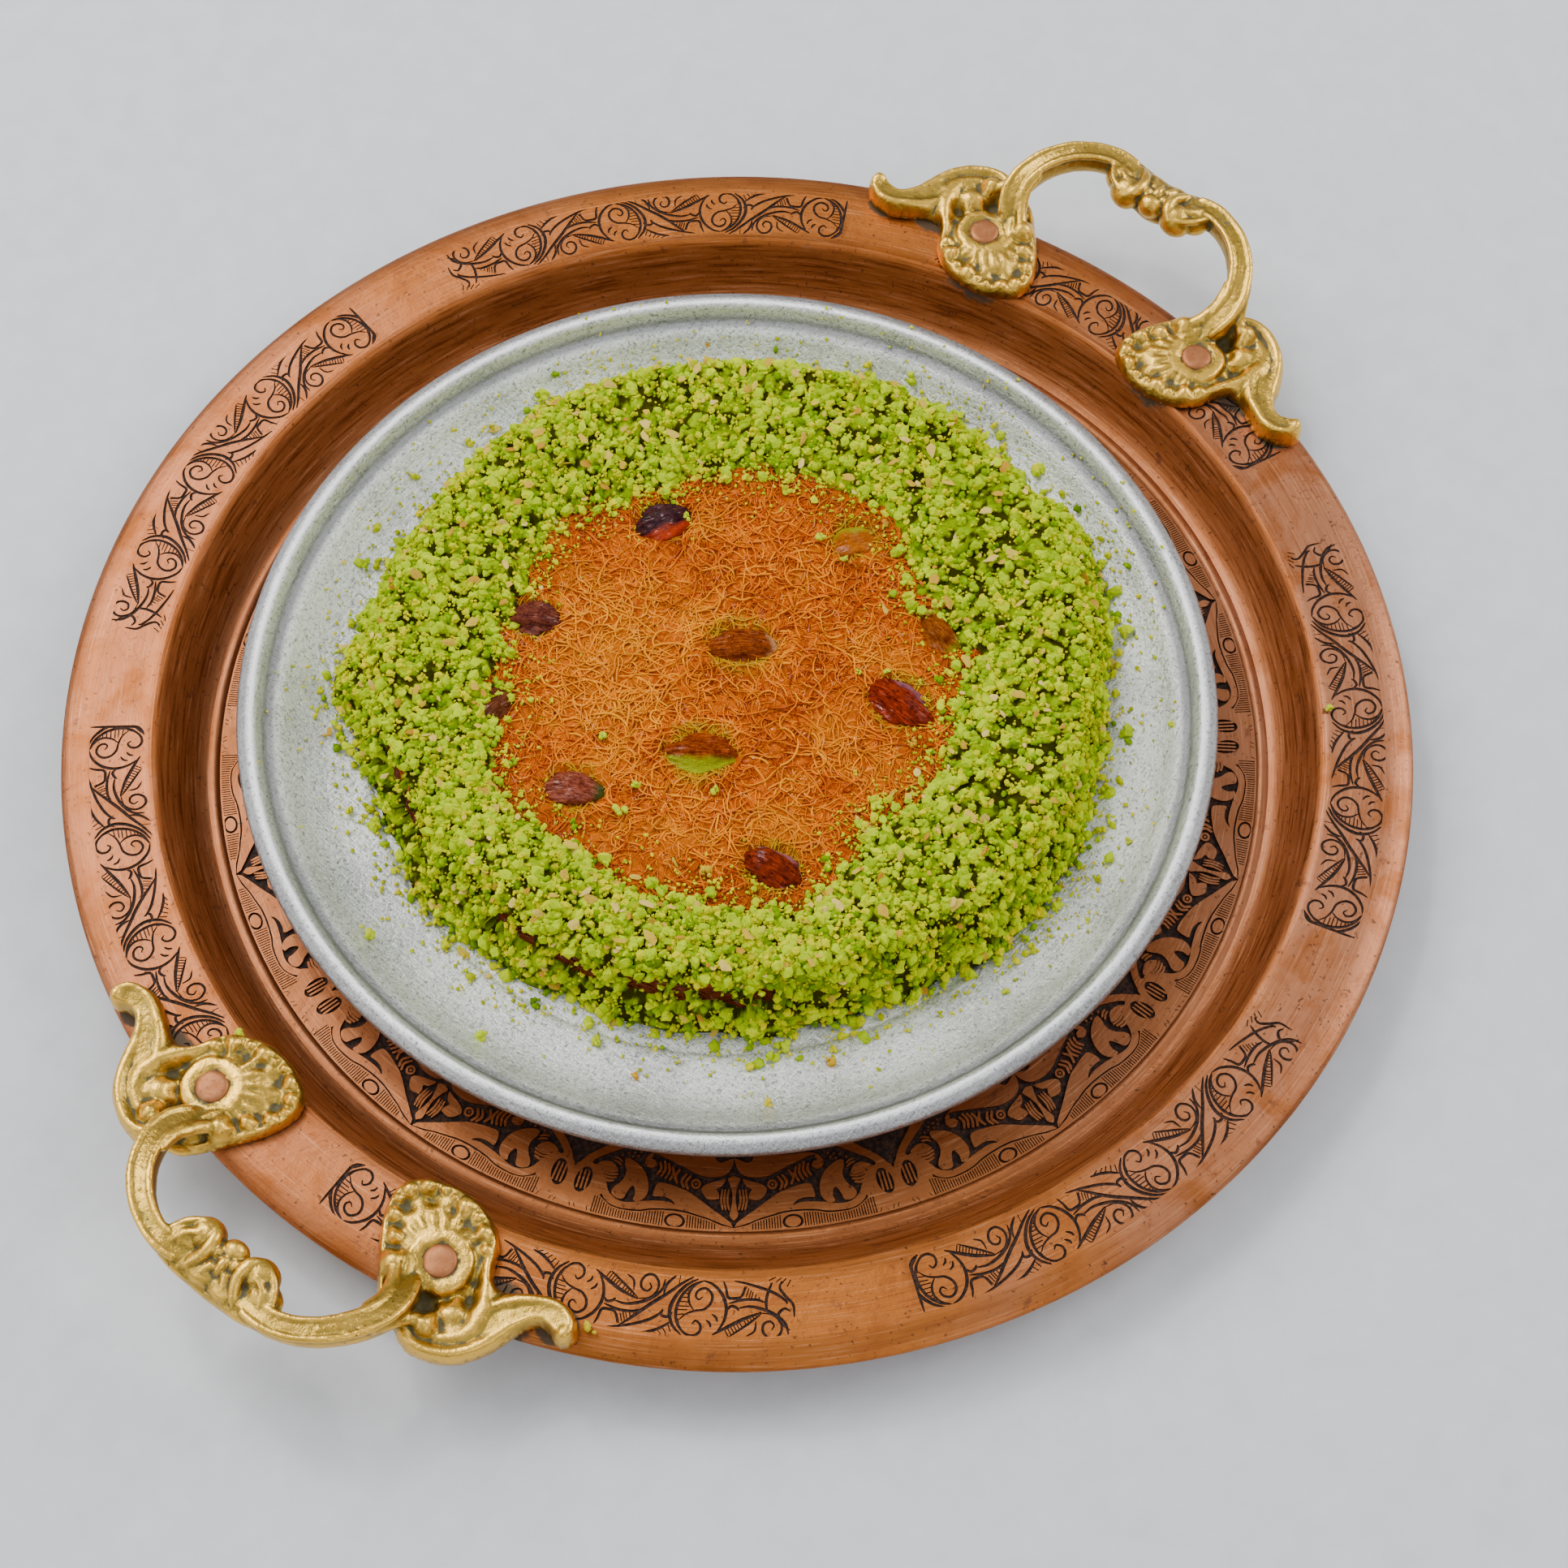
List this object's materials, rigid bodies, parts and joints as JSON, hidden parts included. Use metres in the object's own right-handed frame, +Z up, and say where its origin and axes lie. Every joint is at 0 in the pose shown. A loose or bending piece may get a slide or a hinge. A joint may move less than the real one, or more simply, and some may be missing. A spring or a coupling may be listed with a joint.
{
  "type": "kunafa",
  "caption": "Round shredded-pastry kunafa with a ring of ground pistachio and whole kernels, on a metal plate and an engraved copper tray with cast brass handles.",
  "frame": {"origin": "on the floor under the middle of the tray, where the tray's flat underside rests", "axes": "+Z up; +X from the middle of the tray through the middle of one handle, along the longest side"},
  "size_m": [0.3234, 0.28, 0.0292],
  "materials": {
    "copper": "aged copper, satin, hand engraved",
    "brass": "aged cast brass, worn satin with dark hollows",
    "aluminium": "dull, finely scratched",
    "pastry": "syrupy shredded pastry, baked orange",
    "ground_pistachio": "ground, bright green with paler flakes",
    "kernel": "red-brown skin over green, syrupy"
  },
  "bodies": {
    "root": {"tray": "copper", "plate": "aluminium", "pastry": "pastry", "pistachio_crumbs": "ground_pistachio", "handle_far": "brass", "handle_near": "brass", "rivet_far_1": "copper", "rivet_far_2": "copper", "rivet_near_1": "copper", "rivet_near_2": "copper", "pistachio_01": "kernel", "pistachio_02": "kernel", "pistachio_03": "kernel", "pistachio_04": "kernel", "pistachio_05": "kernel", "pistachio_06": "kernel", "pistachio_07": "kernel", "pistachio_08": "kernel", "pistachio_09": "kernel", "pistachio_10": "kernel"}
  },
  "joints": []
}
